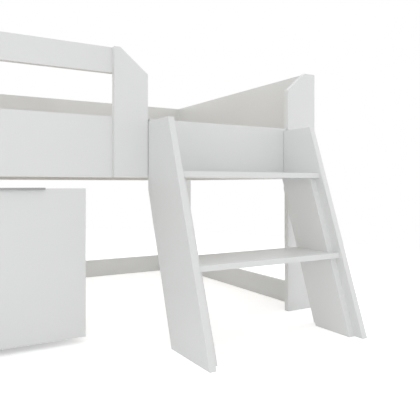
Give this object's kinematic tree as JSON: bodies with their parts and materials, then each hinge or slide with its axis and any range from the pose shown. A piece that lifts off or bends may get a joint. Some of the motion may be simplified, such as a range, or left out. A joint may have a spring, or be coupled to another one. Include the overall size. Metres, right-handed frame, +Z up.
{
  "type": "low loft bed",
  "caption": "Low loft bed of white lacquered boards with guard rails, a sloped ladder and a roll-out storage box under it.",
  "frame": {"origin": "on the floor, under the middle of the whole outline with the ladder", "axes": "+Z up, +X along the bed towards the ladder, +Y from the ladder side to the wall side"},
  "size_m": [2.116, 1.329, 1.07],
  "materials": {
    "white_lacquer": "satin",
    "pine": "matte",
    "webbing": "matte",
    "zinc_steel": "satin",
    "white_plastic": "matte",
    "grey_metal": "satin",
    "wheel_plastic": "satin"
  },
  "bodies": {
    "bed": {"front_side_board": "white_lacquer", "back_side_board": "white_lacquer", "front_guard_rail": "white_lacquer", "back_guard_rail": "white_lacquer", "front_mid_post": "white_lacquer", "back_mid_post": "white_lacquer", "left_end_panel": "white_lacquer", "right_end_panel": "white_lacquer", "front_left_leg_board": "white_lacquer", "front_right_leg_board": "white_lacquer", "back_left_leg_board": "white_lacquer", "back_right_leg_board": "white_lacquer", "front_left_leg_side": "white_lacquer", "front_right_leg_side": "white_lacquer", "back_left_leg_side": "white_lacquer", "back_right_leg_side": "white_lacquer", "front_left_leg_lining": "white_lacquer", "front_right_leg_lining": "white_lacquer", "back_left_leg_lining": "white_lacquer", "back_right_leg_lining": "white_lacquer", "back_low_rail": "white_lacquer", "left_low_rail": "white_lacquer", "right_low_rail": "white_lacquer", "front_slat_cleat": "pine", "back_slat_cleat": "pine", "slats": "pine", "slat_straps": "webbing", "slat_screws": "zinc_steel", "frame_screws": "zinc_steel", "end_screws": "zinc_steel", "leg_dowels": "pine", "ladder_left_side": "white_lacquer", "ladder_right_side": "white_lacquer", "left_lower_bearer": "white_lacquer", "right_lower_bearer": "white_lacquer", "left_upper_bearer": "white_lacquer", "right_upper_bearer": "white_lacquer", "lower_tread": "white_lacquer", "upper_tread": "white_lacquer", "bearer_dowels": "pine", "tread_dowels": "pine", "ladder_bolts": "zinc_steel", "ladder_spacers": "white_plastic", "barrel_nuts": "zinc_steel"},
    "storage_box": {"box_front": "white_lacquer", "box_left_side": "white_lacquer", "box_right_side": "white_lacquer", "box_back": "white_lacquer", "box_base": "white_lacquer", "box_pull": "grey_metal", "box_screws": "zinc_steel", "box_dowels": "pine", "castor_forks": "zinc_steel", "castor_axles": "zinc_steel"},
    "front_left_wheel": {"front_left_wheel": "wheel_plastic"},
    "front_right_wheel": {"front_right_wheel": "wheel_plastic"},
    "back_left_wheel": {"back_left_wheel": "wheel_plastic"},
    "back_right_wheel": {"back_right_wheel": "wheel_plastic"}
  },
  "joints": [
    {"name": "box_slide", "type": "slide", "parent": "bed", "child": "storage_box", "axis": [0, -1, 0], "range_m": [0, 0.6]},
    {"name": "front_left_roll", "type": "hinge", "parent": "storage_box", "child": "front_left_wheel", "pos_m": [-0.708, -0.2175, 0.02], "axis": [1, 0, 0], "continuous": true},
    {"name": "front_right_roll", "type": "hinge", "parent": "storage_box", "child": "front_right_wheel", "pos_m": [-0.164, -0.2175, 0.02], "axis": [1, 0, 0], "continuous": true},
    {"name": "back_left_roll", "type": "hinge", "parent": "storage_box", "child": "back_left_wheel", "pos_m": [-0.708, 0.2245, 0.02], "axis": [1, 0, 0], "continuous": true},
    {"name": "back_right_roll", "type": "hinge", "parent": "storage_box", "child": "back_right_wheel", "pos_m": [-0.164, 0.2245, 0.02], "axis": [1, 0, 0], "continuous": true}
  ],
  "couplings": [
    {"joint": "front_left_roll", "follows": "box_slide", "rad_per_m": 50},
    {"joint": "front_right_roll", "follows": "box_slide", "rad_per_m": 50},
    {"joint": "back_left_roll", "follows": "box_slide", "rad_per_m": 50},
    {"joint": "back_right_roll", "follows": "box_slide", "rad_per_m": 50}
  ]
}
